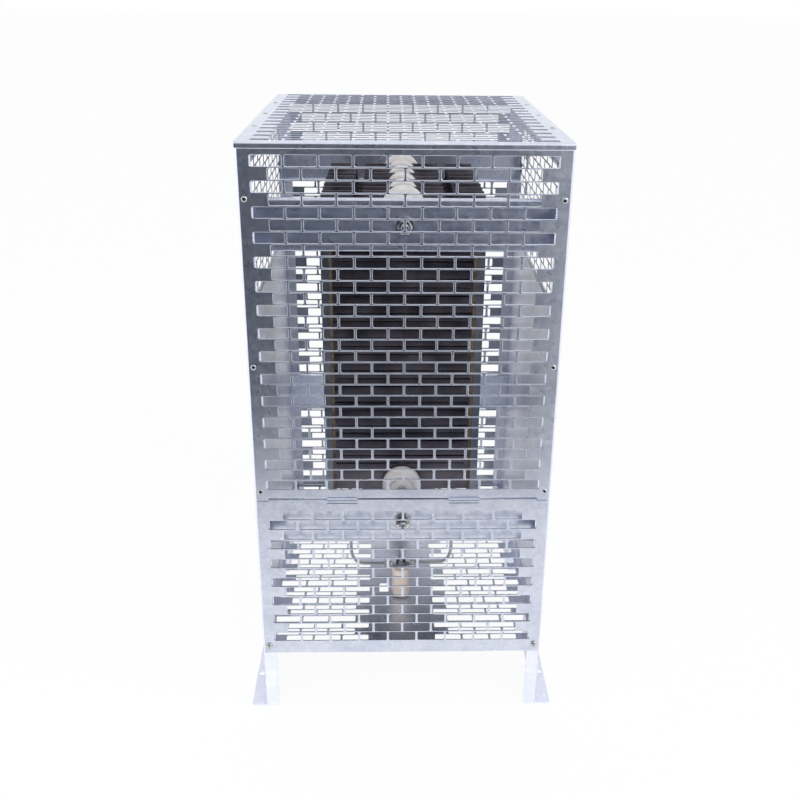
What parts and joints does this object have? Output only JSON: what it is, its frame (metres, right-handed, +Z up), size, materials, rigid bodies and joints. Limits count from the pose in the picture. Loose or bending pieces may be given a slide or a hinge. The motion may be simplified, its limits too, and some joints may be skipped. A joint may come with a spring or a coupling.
{
  "type": "braking resistor",
  "caption": "Free-standing braking resistor: punched steel grids on insulated tie rods in a slotted galvanised cabinet with sheet-metal legs and a tilt-out terminal cover.",
  "frame": {"origin": "on the floor, at the middle of the four feet", "axes": "+Z up, +Y to the rear, +X to the right as seen from the front, where the terminal cover is"},
  "size_m": [0.432, 0.485, 0.8062],
  "materials": {
    "galvanised_sheet": "hot-dip galvanised sheet, satin",
    "expanded_metal": "galvanised expanded metal",
    "zinc_plated_steel": "zinc plated, bright",
    "grid_steel": "heat-darkened stainless steel",
    "mica": "brown mica laminate",
    "white_ceramic": "unglazed white steatite",
    "beige_ceramic": "moulded beige post insulator",
    "tinned_copper": "tinned copper, stranded or crimped"
  },
  "bodies": {
    "cabinet": {"bell_clamp_nuts": "zinc_plated_steel", "bottom_plate": "galvanised_sheet", "cable_lugs": "tinned_copper", "connection_nuts": "zinc_plated_steel", "connection_studs": "zinc_plated_steel", "connection_washers": "zinc_plated_steel", "front_connection_post": "beige_ceramic", "front_leads": "tinned_copper", "front_panel": "galvanised_sheet", "front_rivets": "zinc_plated_steel", "grid_links": "grid_steel", "left_mica_strips": "mica", "left_side_rails": "galvanised_sheet", "lower_front_beam": "galvanised_sheet", "lower_front_bell_insulator": "white_ceramic", "lower_rear_beam": "galvanised_sheet", "lower_rear_bell_insulator": "white_ceramic", "lower_rod_sleeve": "mica", "lower_spool_insulators": "white_ceramic", "lower_tie_rod": "zinc_plated_steel", "rear_connection_post": "beige_ceramic", "rear_leads": "tinned_copper", "rear_panel": "galvanised_sheet", "rear_rivets": "zinc_plated_steel", "resistor_grid_01": "grid_steel", "resistor_grid_02": "grid_steel", "resistor_grid_03": "grid_steel", "resistor_grid_04": "grid_steel", "resistor_grid_05": "grid_steel", "resistor_grid_06": "grid_steel", "resistor_grid_07": "grid_steel", "resistor_grid_08": "grid_steel", "resistor_grid_09": "grid_steel", "resistor_grid_10": "grid_steel", "right_mica_strips": "mica", "right_side_rails": "galvanised_sheet", "side_mesh_left": "expanded_metal", "side_mesh_right": "expanded_metal", "side_wall_left": "galvanised_sheet", "side_wall_right": "galvanised_sheet", "tie_rod_nuts": "zinc_plated_steel", "tie_rod_washers": "zinc_plated_steel", "top_cover": "galvanised_sheet", "top_rivets": "zinc_plated_steel", "upper_front_beam": "galvanised_sheet", "upper_front_bell_insulator": "white_ceramic", "upper_rear_beam": "galvanised_sheet", "upper_rear_bell_insulator": "white_ceramic", "upper_rod_sleeve": "mica", "upper_spool_insulators": "white_ceramic", "upper_tie_rod": "zinc_plated_steel"},
    "cover": {"terminal_cover": "galvanised_sheet", "cover_screws": "zinc_plated_steel"}
  },
  "joints": [
    {"name": "cover_tilt", "type": "hinge", "parent": "cabinet", "child": "cover", "pos_m": [0, -0.2408, 0.3386], "axis": [-1, 0, 0], "range_deg": [0, 40]}
  ]
}
